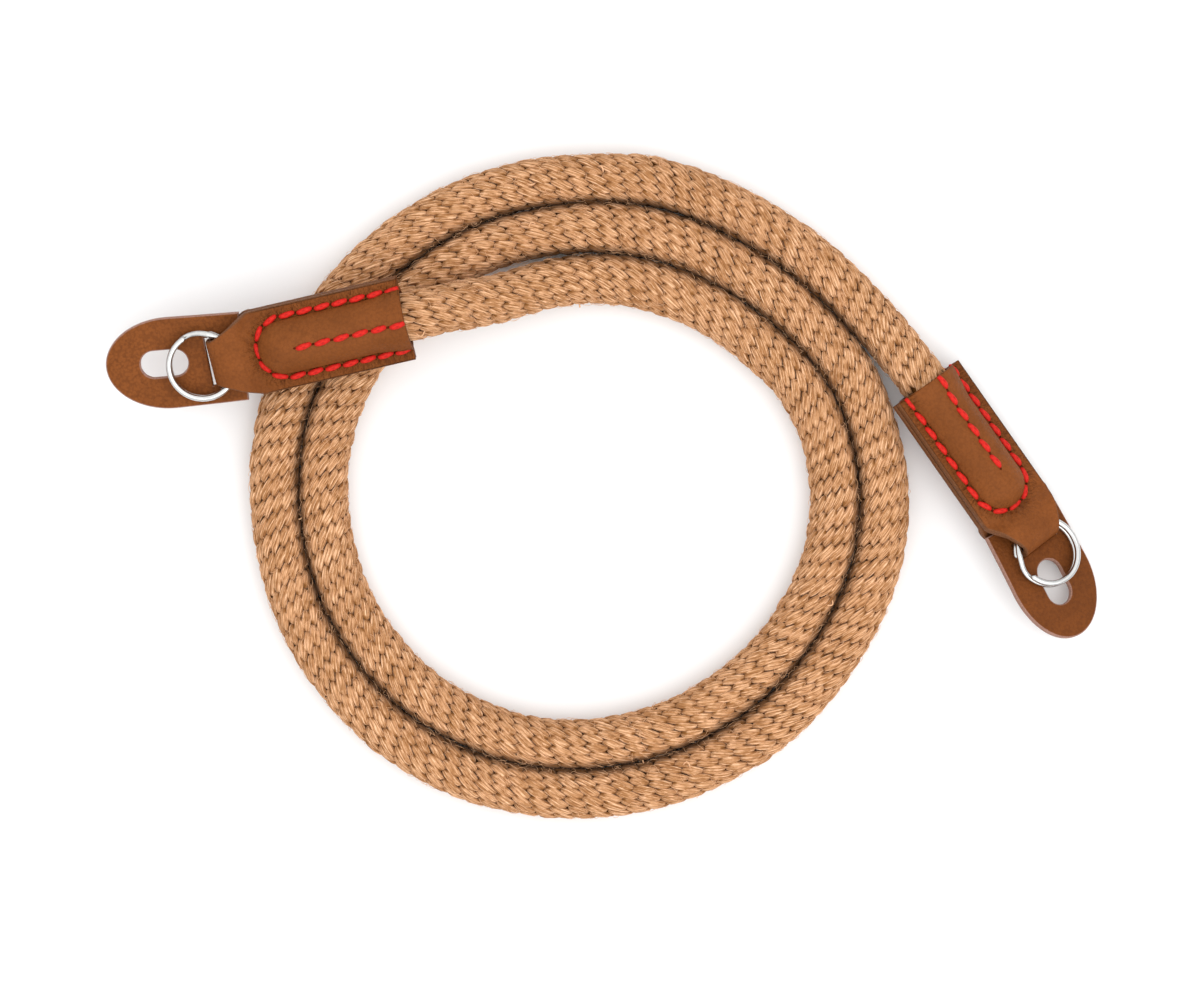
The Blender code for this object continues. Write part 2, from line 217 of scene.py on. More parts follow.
DIMPLE_DEPTH = 0.00032
DIMPLE_RADIUS = 0.00085
CREASE_REACH = 0.0026  # of the wrinkles, out from the rows

# Steps, edges and rims
TOP_STEPS = 96
BOTTOM_STEPS = 70
FOLD_STEPS = 22
ACROSS_STEPS = 56
RIM_STEPS = 3
RIM_ROUND = 0.00035
RAW_BACK = 0.6  # share of the raw edge's colour on the leather's back
RING_STEPS = 150
RING_SIDES = 16
WIRE_END = 0.72  # of the wire's thickness, at its two ends
TIP_STEPS = 48
SLOT_STEPS = 20
TAB_ROUND = 0.00030
TAB_GRID = 0.0011
TAB_SHARP = math.radians(50)
SLIT_WALL = TONGUE_WIDTH / 2 + 3 * SEAT_GAP
WELD = 0.000001

# Room
FLOOR_SIZE = 3.0
FLOOR_HEIGHT = -0.0001
KEY_POWER = 9.0
KEY_SIZE = 1.6
KEY_PLACE = (0.55, -0.50, 1.25)
WORLD_STRENGTH = 1.45
LOW_LIGHT = (0.20, 0.20, 0.21)  # of the surround near the horizon, against overhead
OVERHEAD_LIGHT = (1.0, 1.0, 1.0)
OVERHEAD_FROM = 0.55  # sine of the height where it is brightest

# Sizes that follow from the ones above
ROPE_REST = ROPE_DIAMETER / 2
ROPE_IN_LEATHER = SEAM_LENGTH - POCKET_CLOSING
END_LENGTH = SEAM_LENGTH + LOOP_LENGTH
TAPER_START = SEAM_LENGTH + TAPER_AFTER_SEAM
TAB_START = END_LENGTH - TAB_TUCK
RING_CENTRE = END_LENGTH + RING_PAST_FOLD
BEND_CENTRE = END_LENGTH - LEATHER / 2 - BEND_REACH
SEAM_HEIGHT = SEAT_GAP / 2 + LEATHER / 2
MOUTH_RADIUS = ROPE_DIAMETER / 2 + POCKET_SLACK + LEATHER / 2
POCKET_RADIUS = ROPE_END_DIAMETER / 2 + POCKET_SLACK + LEATHER / 2
RING_STACK = 2 * RING_WIRE + RING_TURN_GAP
LOOP_INSIDE = TAB_LEATHER + RING_STACK + 3 * SEAT_GAP
LOOP_TOP = LOOP_INSIDE - LOOP_DROP + LEATHER / 2
LOOP_BOTTOM = -LOOP_DROP - LEATHER / 2
TAB_HEIGHT = -LOOP_DROP + SEAT_GAP + TAB_LEATHER / 2
RING_HEIGHT = TAB_HEIGHT + TAB_LEATHER / 2 + SEAT_GAP + RING_STACK / 2
TOP_MOUTH_HEIGHT = ROPE_DIAMETER + SEAT_GAP + MOUTH_RADIUS + LEATHER / 2
LOW_MOUTH_HEIGHT = FLOOR_GAP + MOUTH_RADIUS + LEATHER / 2


def mix(low, high, share):
    return low + (high - low) * share


def ease(share):
    share = min(max(share, 0.0), 1.0)
    return share * share * (3 - 2 * share)


def smooth_max(value, width):
    """The larger of value and 0, with the corner between them rounded."""
    return (value + math.sqrt(value * value + width * width)) / 2


def unit(vectors):
    return vectors / np.linalg.norm(vectors, axis=-1, keepdims=True)


# Places

def coil_point(station, height):
    """The point at a height over a station's place in the coil."""
    radius = INNER_RADIUS + station.lane * (ROPE_DIAMETER + STRAND_GAP)
    angle = math.radians(station.angle)
    return COIL_CENTRE + Vector((radius * math.cos(angle), radius * math.sin(angle), height))


def end_frame(pose):
    """From an end's own axes to the world: x from the mouth to the tab, z up out of it."""
    mouth = coil_point(pose.mouth, mix(LOW_MOUTH_HEIGHT, TOP_MOUTH_HEIGHT, pose.mouth.lift))
    turn = Matrix.Rotation(math.radians(pose.heading), 4, "Z")
    dip = Matrix.Rotation(math.radians(pose.dip), 4, "Y")
    roll = Matrix.Rotation(math.radians(-pose.roll), 4, "X")
    return Matrix.Translation(mouth) @ turn @ dip @ roll


def smooth_curve(knots, step):
    """Points about a step apart on a centripetal Catmull-Rom curve through the knots."""
    first = knots[0] * 2 - knots[1]
    last = knots[-1] * 2 - knots[-2]
    padded = [first] + knots + [last]
    points = [knots[0]]
    for before, start, end, after in zip(padded, padded[1:], padded[2:], padded[3:]):
        times = [0.0]
        for a, b in ((before, start), (start, end), (end, after)):
            times.append(times[-1] + math.sqrt((b - a).length))
        t0, t1, t2, t3 = times
        count = max(1, round((end - start).length / step))
        for index in range(1, count + 1):
            t = mix(t1, t2, index / count)
            a1 = before.lerp(start, (t - t0) / (t1 - t0))
            a2 = start.lerp(end, (t - t1) / (t2 - t1))
            a3 = end.lerp(after, (t - t2) / (t3 - t2))
            b1 = a1.lerp(a2, (t - t0) / (t2 - t0))
            b2 = a2.lerp(a3, (t - t1) / (t3 - t1))
            points.append(b1.lerp(b2, (t - t1) / (t2 - t1)))
    return points


class RopePath:
    """The rope's centre line, with its length, its right-hand side and its upward direction."""

    def __init__(self, frames):
        climb = TOP_MOUTH_HEIGHT - ROPE_REST
        right, left = frames
        knots = [right.translation]
        knots += [coil_point(station, ROPE_REST + climb * station.lift) for station in ROUTE]
        knots += [left.translation]
        lead_in = right @ Vector((ROPE_LEAD, 0, 0))
        lead_out = left @ Vector((ROPE_LEAD, 0, 0))
        free = smooth_curve([lead_in] + knots + [lead_out], ROPE_STEP)
        start = round((knots[0] - lead_in).length / ROPE_STEP)
        free = free[start:len(free) - start]
        inside = np.linspace(ROPE_IN_LEATHER, 0, INSIDE_STEPS, endpoint=False)
        before = [right @ Vector((depth, 0, 0)) for depth in inside]
        after = [left @ Vector((depth, 0, 0)) for depth in inside[::-1]]
        self.points = np.array([tuple(p) for p in before + free + after])
        steps = np.linalg.norm(np.diff(self.points, axis=0), axis=1)
        self.at = np.concatenate(([0.0], np.cumsum(steps)))
        self.length = self.at[-1]
        tangent = unit(np.gradient(self.points, self.at, axis=0))
        self.side = unit(np.cross(tangent, (0.0, 0.0, 1.0)))
        self.up = np.cross(self.side, tangent)
        # Each of them for the right side and for the left one
        self.swell, self.pressed = zip(*[self.room_beside(sign) for sign in (1, -1)])

    def room_beside(self, sign):
        """One side's swelling where a turn lies close beside it, and 1 where it is pressed."""
        offsets = self.points[None] - self.points[:, None]
        away = np.abs(self.at[None] - self.at[:, None]) > NEXT_TURN
        sideways = np.einsum("ijk,ik->ij", offsets, self.side) * sign
        distance = np.linalg.norm(offsets, axis=2)
        beside = away & (sideways > BESIDE * distance)
        room = np.where(beside, distance, np.inf).min(axis=1) / 2 - BRAID_TOP
        width = round(2 * ROPE_DIAMETER / ROPE_STEP)
        smooth = np.ones(width) / width
        swell = np.where(room < MOST_SWELL, np.maximum(room, 0), 0)
        pressed = np.where(room < PRESSED_ROOM, 1.0, 0.0)
        return np.convolve(swell, smooth, mode="same"), np.convolve(pressed, smooth, mode="same")

    def sample(self, values, at):
        return np.stack([np.interp(at, self.at, values[:, i]) for i in range(3)], axis=-1)

    def squeeze(self, at):
        """The rope's radius inside the leather against its free radius."""
        depth = np.maximum(ROPE_IN_LEATHER - at, at - (self.length - ROPE_IN_LEATHER))
        share = np.clip(depth / SQUEEZE_LENGTH, 0, 1)
        return 1 - share * (1 - ROPE_END_DIAMETER / ROPE_DIAMETER)

    def beside(self, sides, at, turn):
        """The value of the rope's right or left side, whichever faces that way."""
        right, left = (np.interp(at, self.at, side) for side in sides)
        return np.where(np.sin(turn) > 0, right, left)

    def surface(self, at, turn, radius):
        """World points at lengths along the rope, angles round it from its top and radii."""
        radius = radius * self.squeeze(at)
        radius = radius + self.beside(self.swell, at, turn) * np.sin(turn) ** 2
        side = self.sample(self.side, at)
        up = self.sample(self.up, at)
        out = np.cos(turn)[..., None] * up + np.sin(turn)[..., None] * side
        return self.sample(self.points, at) + out * radius[..., None]


# Materials

def new_material(name, roughness, specular=0.5, metallic=0.0):
    """A material, its shader's sockets, and short calls for its nodes."""
    material = bpy.data.materials.new(name)
    material.use_nodes = True
    shader = material.node_tree.nodes["Principled BSDF"].inputs
    shader["Roughness"].default_value = roughness
    shader["Specular IOR Level"].default_value = specular
    shader["Metallic"].default_value = metallic
    return material, shader, Nodes(material.node_tree)


class Nodes:
    """Short calls that add and join the nodes of a tree."""

    def __init__(self, tree):
        self.tree = tree

    def add(self, kind, inputs=(), **settings):
        node = self.tree.nodes.new(kind)
        for key, value in settings.items():
            setattr(node, key, value)
        for key, value in dict(inputs).items():
            self.set(node.inputs[key], value)
        return node

    def set(self, socket, value):
        if isinstance(value, bpy.types.NodeSocket):
            self.tree.links.new(value, socket)
        else:
            socket.default_value = value

    def place(self):
        return self.add("ShaderNodeTexCoord").outputs["Object"]

    def uv(self, name):
        return self.add("ShaderNodeUVMap", uv_map=name).outputs[0]

    def attribute(self, name):
        return self.add("ShaderNodeAttribute", attribute_name=name).outputs["Fac"]

    def stretch(self, vector, *scale):
        return self.add("ShaderNodeMapping", {"Vector": vector, "Scale": scale}).outputs[0]

    def maths(self, operation, *values):
        node = self.add("ShaderNodeMath", operation=operation)
        for socket, value in zip(node.inputs, values):
            self.set(socket, value)
        return node.outputs[0]

    def blend(self, share, first, second):
        """The mix of two colours, each of them a socket or three numbers."""
        node = self.add("ShaderNodeMix", data_type="RGBA")
        self.set(node.inputs[0], share)
        for socket, colour in ((node.inputs[6], first), (node.inputs[7], second)):
            joined = isinstance(colour, bpy.types.NodeSocket)
            self.set(socket, colour if joined else (*colour, 1.0))
        return node.outputs[2]

    def noise(self, vector, scale, detail=3.0, roughness=0.5):
        inputs = {"Vector": vector, "Scale": scale, "Detail": detail, "Roughness": roughness}
        return self.add("ShaderNodeTexNoise", inputs).outputs[0]

    def ramp(self, value, low, high):
        """A soft step from 0 at low to 1 at high, which may be the smaller one."""
        inputs = {"Value": value, "From Min": low, "From Max": high}
        return self.add("ShaderNodeMapRange", inputs, interpolation_type="SMOOTHSTEP").outputs[0]

    def bump(self, height, distance, strength=1.0, normal=None):
        inputs = {"Height": height, "Distance": distance, "Strength": strength}
        node = self.add("ShaderNodeBump", inputs)
        if normal is not None:
            self.set(node.inputs["Normal"], normal)
        return node.outputs[0]


COTTON_LIGHT = (0.596, 0.314, 0.157)
COTTON_DEEP = (0.390, 0.181, 0.072)
COTTON_DARK = (0.235, 0.095, 0.031)
COTTON_PALE = (0.850, 0.520, 0.310)
COTTON_GAP_SHADE = (0.210, 0.082, 0.019)
# Darkest cotton, for painted shade in crevices and in the rope's inside
COTTON_PAINTED_SHADE = (0.075, 0.026, 0.005)
HIDE_LIGHT = (0.210, 0.062, 0.0130)
HIDE_DARK = (0.092, 0.025, 0.0045)
# A darker copy of the hide, as painted shade on the right tab
RIGHT_TAB_SHADED_HIDE = (0.162, 0.046, 0.0085)
RAW_EDGE = (0.200, 0.078, 0.031)
TAB_EDGE = (0.400, 0.220, 0.165)
THREAD_RED = (0.640, 0.016, 0.009)
THREAD_DEEP = (0.340, 0.006, 0.004)
# Painted shade in the holes
HOLE_PAINTED_SHADE = (0.055, 0.013, 0.004)
HOLE_RED = (0.095, 0.014, 0.006)
STEEL_DEEP = (0.50, 0.50, 0.49)
STEEL_LIGHT = (0.66, 0.66, 0.65)
FLOOR_COLOUR = (0.86, 0.86, 0.86, 1.0)
SHEEN_TINT = (1.0, 0.88, 0.76, 1.0)
COTTON_GLOSS = 0.05
LEATHER_GLOSS = 0.10
THREAD_GLOSS = 0.18
GRAIN = 1600.0  # pebbles to a metre
END_MOTTLE = 0.20  # share of darker grain and of painted shade in the creases
TAB_MOTTLE = 0.38
EDGE_SHADE = 0.45  # of a raw edge's colour, where it is darkest


def cotton_material():
    """Soft twisted cotton: plies along each stitch, with painted shade where a stitch goes under, in
    the ply valleys and in the crevices between turns.
    """
    material, shader, n = new_material("braided_cotton", 0.88, COTTON_GLOSS)
    parts = n.add("ShaderNodeSeparateXYZ", {"Vector": n.uv("stitch")}).outputs
    along = n.maths("MULTIPLY_ADD", parts[0], 2.0, -1.0)
    across = n.maths("MULTIPLY_ADD", parts[1], 2.0, -1.0)

    # Painted shade where a stitch goes under: most at two opposite corners of a stitch, some at its
    # ends and long edges
    end = n.ramp(n.maths("ABSOLUTE", along), *TICK_RANGE)
    corner = n.ramp(n.maths("MULTIPLY", along, across), -0.10, 0.28)
    corner = n.maths("MULTIPLY_ADD", corner, 0.86, 0.14)
    seam = n.maths("MULTIPLY", n.ramp(n.maths("ABSOLUTE", across), 0.62, 0.95), 0.36)
    under = n.maths("MAXIMUM", n.maths("MULTIPLY", end, corner), seam)

    # Colour: patches over all, each stitch's own tone, dark and pale fibres, painted shade in the
    # valleys between plies
    twist = n.maths("MULTIPLY", along, PLY_TWIST)
    wave = n.maths("COSINE", n.maths("MULTIPLY_ADD", across, PLIES * math.pi, twist))
    valley_shade = n.maths("MULTIPLY", n.ramp(wave, 0.0, -0.9), 0.55)
    fibres = n.noise(n.stretch(n.uv("fibre"), 1.7, 9.0, 1.0), 1.0, 4.0, 0.65)
    patches = n.noise(n.place(), 420.0, 4.0, 0.6)
    tone = n.maths("MULTIPLY_ADD", n.attribute("tone"), 0.16, n.maths("ADD", patches, -0.08))
    body = n.blend(n.ramp(tone, 0.36, 0.62), COTTON_DEEP, COTTON_LIGHT)
    body = n.blend(n.ramp(fibres, 0.48, 0.39), body, COTTON_DARK)
    body = n.blend(n.ramp(fibres, 0.52, 0.61), body, COTTON_PALE)
    body = n.blend(valley_shade, body, COTTON_DEEP)
    # Painted shade at the stitch ends, corners and edges that go under
    body = n.blend(n.maths("MULTIPLY", under, 0.94), body, COTTON_GAP_SHADE)
    # Painted shade in the crevices between turns that press on each other
    body = n.blend(n.maths("MULTIPLY", n.attribute("shaded"), 0.9), body, COTTON_PAINTED_SHADE)
    n.set(shader["Base Color"], body)
    n.set(shader["Normal"], n.bump(fibres, 0.00022, 1.0, n.bump(wave, 0.00006, 0.6)))
    shader["Sheen Weight"].default_value = 0.10
    shader["Sheen Roughness"].default_value = 0.5
    shader["Sheen Tint"].default_value = SHEEN_TINT
    return material


def fibre_material():
    """Pale loose cotton, a little uneven in colour."""
    material, shader, n = new_material("loose_cotton", 0.9, COTTON_GLOSS)
    n.set(shader["Base Color"], n.blend(n.noise(n.place(), 500.0), COTTON_LIGHT, COTTON_PALE))
    return material


def core_material():
    """The rope's inside, seen only between the stitches, dark with painted shade."""
    material, shader, n = new_material("rope_inside", 0.95, 0.0)
    n.set(shader["Base Color"], n.blend(n.noise(n.place(), 900.0), COTTON_PAINTED_SHADE, COTTON_GAP_SHADE))
    return material


def leather_material(name, light, edge_colour, mottle):
    """Pebbled leather, mottled by a share, creased, with painted shade in its creases and wrinkles,
    and with a raw edge where attributes say.
    """
    material, shader, n = new_material(name, 0.52, LEATHER_GLOSS)
    where = n.place()
    pebbles = n.add("ShaderNodeTexVoronoi", {"Vector": where, "Scale": GRAIN}, feature="F1")
    pebble = pebbles.outputs["Distance"]
    creases = n.noise(where, GRAIN * 0.75, 4.0, 0.65)
    broad = n.noise(where, 130.0, 3.0, 0.5)
    fine = n.noise(where, 5200.0, 3.0, 0.6)
    near_sewing = n.attribute("creased")
    fold = n.noise(n.stretch(n.uv("rows"), 1.25, 0.42, 1.0), 1.0, 3.0, 0.6)
    wrinkle_shade = n.maths("MULTIPLY", n.ramp(fold, 0.47, 0.38), near_sewing)
    hide = n.blend(n.maths("MULTIPLY_ADD", n.ramp(broad, 0.30, 0.70), 0.35, 0.65), HIDE_DARK, light)
    # Painted shade in the fine creases
    hide = n.blend(n.maths("MULTIPLY", n.ramp(creases, 0.50, 0.34), mottle), hide, HIDE_DARK)
    hide = n.blend(n.maths("MULTIPLY", n.ramp(pebble, 0.42, 0.72), mottle), hide, HIDE_DARK)
    # Painted shade in the valleys of the wrinkles by the sewing
    hide = n.blend(n.maths("MULTIPLY", wrinkle_shade, 0.75), hide, HIDE_DARK)
    edge_dark = tuple(c * EDGE_SHADE for c in edge_colour)
    raw = n.blend(n.ramp(fine, 0.3, 0.7), edge_colour, edge_dark)
    n.set(shader["Base Color"], n.blend(n.attribute("edge"), hide, raw))
    n.set(shader["Roughness"], n.maths("MULTIPLY_ADD", creases, 0.25, 0.42))
    relief = n.bump(pebble, 0.00026, -1.0)
    relief = n.bump(creases, 0.00034, 0.8, relief)
    relief = n.bump(n.maths("MULTIPLY", fold, near_sewing), 0.0022, 1.0, relief)
    n.set(shader["Normal"], n.bump(fine, 0.00003, 0.4, relief))
    return material


def thread_material():
    """Waxed red thread of two twisted plies."""
    material, shader, n = new_material("red_thread", 0.62, THREAD_GLOSS)
    fibres = n.noise(n.stretch(n.uv("stitch"), 5.0, 16.0, 1.0), 1.0, 3.0)
    n.set(shader["Base Color"], n.blend(n.ramp(fibres, 0.2, 0.7), THREAD_DEEP, THREAD_RED))
    n.set(shader["Normal"], n.bump(fibres, 0.00008, 0.6))
    return material


def hole_material():
    """The pricked holes that the thread goes down, near black with painted shade and red with the
    thread.
    """
    material, shader, n = new_material("thread_holes", 0.9, 0.0)
    n.set(shader["Base Color"], n.blend(n.noise(n.place(), 2000.0), HOLE_PAINTED_SHADE, HOLE_RED))
    return material


def steel_material():
    """Bright plated steel with faint drawing marks."""
    material, shader, n = new_material("plated_steel", 0.16, metallic=1.0)
    marks = n.noise(n.place(), 1500.0, 4.0)
    n.set(shader["Base Color"], n.blend(marks, STEEL_DEEP, STEEL_LIGHT))
    n.set(shader["Roughness"], n.maths("MULTIPLY_ADD", marks, 0.16, 0.08))
    return material


def floor_material():
    """Plain matt white."""
    material, shader, _ = new_material("pale_floor", 0.9, 0.0)
    shader["Base Color"].default_value = FLOOR_COLOUR
    return material


# Meshes

def new_object(name, data):
    obj = bpy.data.objects.new(name, data)
    bpy.context.scene.collection.objects.link(obj)
    return obj


def mesh_object(name, vertices, faces, materials):
    """A smooth mesh from an array or list of points."""
    mesh = bpy.data.meshes.new(name)
    mesh.from_pydata(np.asarray(vertices).reshape(-1, 3).tolist(), [], faces)
    mesh.validate()
    for material in materials:
        mesh.materials.append(material)
    mesh.shade_smooth()
    return new_object(name, mesh)


def to_world(points, world):
    matrix = np.array(world)
    return points.reshape(-1, 3) @ matrix[:3, :3].T + matrix[:3, 3]


def tidy_normals(mesh):
    """Turn every face of the mesh outwards."""
    bm = bmesh.new()
    bm.from_mesh(mesh)
    bmesh.ops.recalc_face_normals(bm, faces=bm.faces)
    bm.to_mesh(mesh)
    bm.free()


def ring_faces(rings, around, start=0):
    """Quads between closed rings, and a cap on the first and the last ring."""
    faces = []
    for i in range(rings - 1):
        for j in range(around):
            a = start + i * around + j
            b = start + i * around + (j + 1) % around
            faces.append((a, b, b + around, a + around))
    faces.append(tuple(start + j for j in reversed(range(around))))
    faces.append(tuple(start + (rings - 1) * around + j for j in range(around)))
    return faces


def add_floats(mesh, name, values):
    """A named number for each vertex."""
    values = np.asarray(values, dtype=np.float32).ravel()
    mesh.attributes.new(name, "FLOAT", "POINT").data.foreach_set("value", values)


def add_uv(mesh, name, coordinates):
    """A UV map from one pair of numbers for each vertex."""
    layer = mesh.uv_layers.new(name=name)
    corners = np.empty(len(mesh.loops), dtype=np.int32)
    mesh.loops.foreach_get("vertex_index", corners)
    layer.data.foreach_set("uv", np.asarray(coordinates, dtype=np.float32)[corners].ravel())


def braid_strands(name, path, columns, material, seed):
    """The stitches of some of the braid's columns, each a plump twist of plies."""
    random = np.random.default_rng(seed)
    first = ROPE_IN_LEATHER - BRAID_INSIDE
    last = path.length - first
    rows = np.arange(math.floor(first / STITCH_PITCH), math.ceil(last / STITCH_PITCH))
    column, row = (grid.ravel() for grid in np.meshgrid(columns, rows, indexing="ij"))
    at = (row + column * COLUMN_LEAD) * STITCH_PITCH
    keep = (at > first) & (at < last)
    column, at = column[keep], at[keep]
    count = len(at)
    turn = 2 * math.pi * column / COLUMNS + COLUMN_TWIST * at / STITCH_PITCH

    def spread(size):
        return random.normal(0, size, count)[:, None, None]

    t = np.linspace(-1, 1, STITCH_RINGS)[None, :, None]
    u = np.linspace(-1, 1, STITCH_ACROSS)[None, None, :]
    length = STITCH_LENGTH * (1 + spread(LENGTH_SPREAD))
    width = STITCH_HALF_WIDTH * (1 + spread(WIDTH_SPREAD)) * (1 - STITCH_NARROWING * np.abs(t) ** 4)
    angle = STITCH_TURN + spread(TURN_SPREAD)
    along = t * length / 2
    across = u * width - STITCH_BEND * t * np.abs(t) ** 3
    forward = along * np.cos(angle) - across * np.sin(angle)
    sideways = along * np.sin(angle) + across * np.cos(angle)
    crown = BRAID_TOP + spread(CROWN_SPREAD) - BRAID_EDGE
    arch = np.sqrt(np.clip(1 - np.abs(u) ** ARCH_POWER, 0, 1))
    dive = BRAID_DIVE * np.abs(t) ** 5
    ply = PLY_DEPTH * np.cos(PLIES * math.pi * u + PLY_TWIST * t) * (1 - t * t)
    hook = np.clip((t * u - HOOK_RANGE[0]) / (HOOK_RANGE[1] - HOOK_RANGE[0]), 0, 1)
    radius = BRAID_EDGE + crown * arch - dive + ply - HOOK_DEPTH * hook
    shape = radius.shape
    places = np.broadcast_to(at[:, None, None] + forward, shape)
    turns = np.broadcast_to(turn[:, None, None] + sideways / ROPE_REST, shape)
    points = path.surface(places, turns, radius)
    points[..., 2] = np.maximum(points[..., 2], LOWEST_STITCH)
    per_stitch = STITCH_RINGS * STITCH_ACROSS
    faces = []
    for index in range(count):
        faces += ring_faces(STITCH_RINGS, STITCH_ACROSS, index * per_stitch)
    obj = mesh_object(name, points, faces, [material])

    stitch_t = np.broadcast_to((t + 1) / 2, shape).ravel()
    stitch_u = np.broadcast_to((u + 1) / 2, shape).ravel()
    number = np.repeat(np.arange(count), per_stitch)
    fibre_t = stitch_t + number * FIBRE_SHIFT
    fibre_u = stitch_u + number % FIBRE_ROWS * 2.0
    # Where turns press together, the crevice between them gets painted shade
    deep = np.clip((np.abs(np.sin(turns)) - CREVICE[0]) / (CREVICE[1] - CREVICE[0]), 0, 1)
    add_floats(obj.data, "tone", np.repeat(random.random(count), per_stitch))
    add_floats(obj.data, "shaded", deep * path.beside(path.pressed, places, turns))
    add_uv(obj.data, "stitch", np.stack([stitch_t, stitch_u], axis=-1))
    add_uv(obj.data, "fibre", np.stack([fibre_t, fibre_u], axis=-1))
    return obj


def stray_fibres(name, path, material, seed):
    """Fine hairs that lie over the braid, and a few plies that stand out of it in loops."""
    random = np.random.default_rng(seed)
    count = STRAY_FIBRES + POPPED_PLIES
    popped = np.arange(count) >= STRAY_FIBRES
    start = ROPE_IN_LEATHER + POPPED_LENGTH
    at = random.uniform(start, path.length - start, count)
    turn = random.uniform(-STRAY_AROUND, STRAY_AROUND, count) * math.pi
    length = np.where(popped, POPPED_LENGTH, random.uniform(*STRAY_LENGTHS, count))
    lift = np.where(popped, POPPED_LIFT, random.uniform(*STRAY_LIFTS, count))
    thick = np.where(popped, POPPED_RADIUS, STRAY_RADIUS)
    heading = STITCH_TURN + random.normal(0, STRAY_HEADING, count)
    curl = random.normal(0, STRAY_CURL, count)
    t = np.linspace(-1, 1, FIBRE_STEPS)[None, :]
    bend = curl[:, None] * (1 - t * t) * length[:, None] / 2
    along = t * length[:, None] / 2
    forward = along * np.cos(heading)[:, None] - bend * np.sin(heading)[:, None]
    sideways = along * np.sin(heading)[:, None] + bend * np.cos(heading)[:, None]
    radius = BRAID_TOP - STRAY_ROOT + (lift[:, None] + STRAY_RISE) * (1 - t * t)
    places = at[:, None] + forward
    turns = turn[:, None] + sideways / ROPE_REST
    centres = path.surface(places, turns, radius)
    run = unit(np.gradient(centres, axis=1))
    out = path.surface(places, turns, radius + FIBRE_PROBE) - centres
    across = unit(np.cross(run, out))
    out = np.cross(across, run)
    angle = np.linspace(0, 2 * math.pi, FIBRE_SIDES, endpoint=False)
    offset = np.cos(angle)[:, None] * across[:, :, None, :]
    offset = offset + np.sin(angle)[:, None] * out[:, :, None, :]
    points = centres[:, :, None, :] + offset * thick[:, None, None, None]
    faces = []
    for index in range(count):
        faces += ring_faces(FIBRE_STEPS, FIBRE_SIDES, index * FIBRE_STEPS * FIBRE_SIDES)
    obj = mesh_object(name, points, faces, [material])
    tidy_normals(obj.data)
    return obj


def rope_core(path, material):
    """The rope's inside, as one open curve along its centre line."""
    curve = bpy.data.curves.new("rope_core", "CURVE")
    curve.dimensions = "3D"
    curve.bevel_depth = 1.0
    curve.bevel_resolution = 3
    curve.use_fill_caps = True
    spline = curve.splines.new("POLY")
    points = path.points[::CORE_EVERY]
    radii = CORE_RADIUS * path.squeeze(path.at[::CORE_EVERY])
    spline.points.add(len(points) - 1)
    for target, point, radius in zip(spline.points, points, radii):
        target.co = (*point, 1.0)
        target.radius = radius
    curve.materials.append(material)
    return new_object("rope_core", curve)


# Leather ends

def half_width(along):
    """Half the leather strip's width at a distance from the mouth."""
    share = min(max((along - TAPER_START) / TAPER_LENGTH, 0.0), 1.0)
    return mix(END_WIDTH, TONGUE_WIDTH, share) / 2


def pocket_radius(along):
    """Radius of the bulge over the rope, to the middle of the leather."""
    radius = mix(MOUTH_RADIUS, POCKET_RADIUS, ease(along / FLARE_LENGTH))
    past = (along - ROPE_IN_LEATHER) / POCKET_CLOSING
    return radius * math.sqrt(max(1 - max(past, 0.0) ** 2, 0.0))


def bulge(radius, across):
    """How far the leather stands above the seam at a distance from the rope's axis."""
    crown = math.sqrt(max(radius * radius - across * across, 0.0))
    lifted = smooth_max(crown - SEAM_HEIGHT, SEAM_FILLET)
    return max(lifted - smooth_max(-SEAM_HEIGHT, SEAM_FILLET), 0.0)


def layer_height(along, side):
    """Height of the middle of the top (side 1) or bottom (side -1) layer, without the bulge."""
    loop_height, ramp = (LOOP_TOP, TOP_RAMP) if side > 0 else (-LOOP_BOTTOM, BOTTOM_RAMP)
    tongue = BEND_CENTRE - SEAM_LENGTH
    return side * mix(SEAM_HEIGHT, loop_height, ease((along - SEAM_LENGTH) / (tongue * ramp)))


def layer_point(along, across, side):
    """The outside of the leather and its outward direction, in the end's own axes."""
    def middle(x, y):
        return Vector((x, y, layer_height(x, side) + side * bulge(pocket_radius(x), y)))
    step = 0.0001
    here = middle(along, across)
    run = middle(along + step, across) - middle(along - step, across)
    rise = middle(along, across + step) - middle(along, across - step)
    out = run.cross(rise).normalized() * side
    return here + out * LEATHER / 2, out


def sewing_rows(pose):
    """(along, across, direction) of each stitch: round the pocket, then down the middle."""
    places = np.linspace(pose.left_row, ROW_TOTAL - pose.right_row, ROW_TURN_STITCHES)
    rows = []
    for place in places:
        if place < ROW_STRAIGHT:
            rows.append((place, ROW_OFFSET, 0.0))
        elif place > ROW_TOTAL - ROW_STRAIGHT:
            rows.append((ROW_TOTAL - place, -ROW_OFFSET, math.pi))
        else:
            turned = (place - ROW_STRAIGHT) / ROW_OFFSET
            along = ROW_STRAIGHT + ROW_OFFSET * math.cos(math.pi / 2 - turned)
            rows.append((along, ROW_OFFSET * math.sin(math.pi / 2 - turned), -turned))
    rows += [(pose.centre_row + CENTRE_PITCH * i, 0.0, 0.0) for i in range(CENTRE_STITCHES)]
    return rows


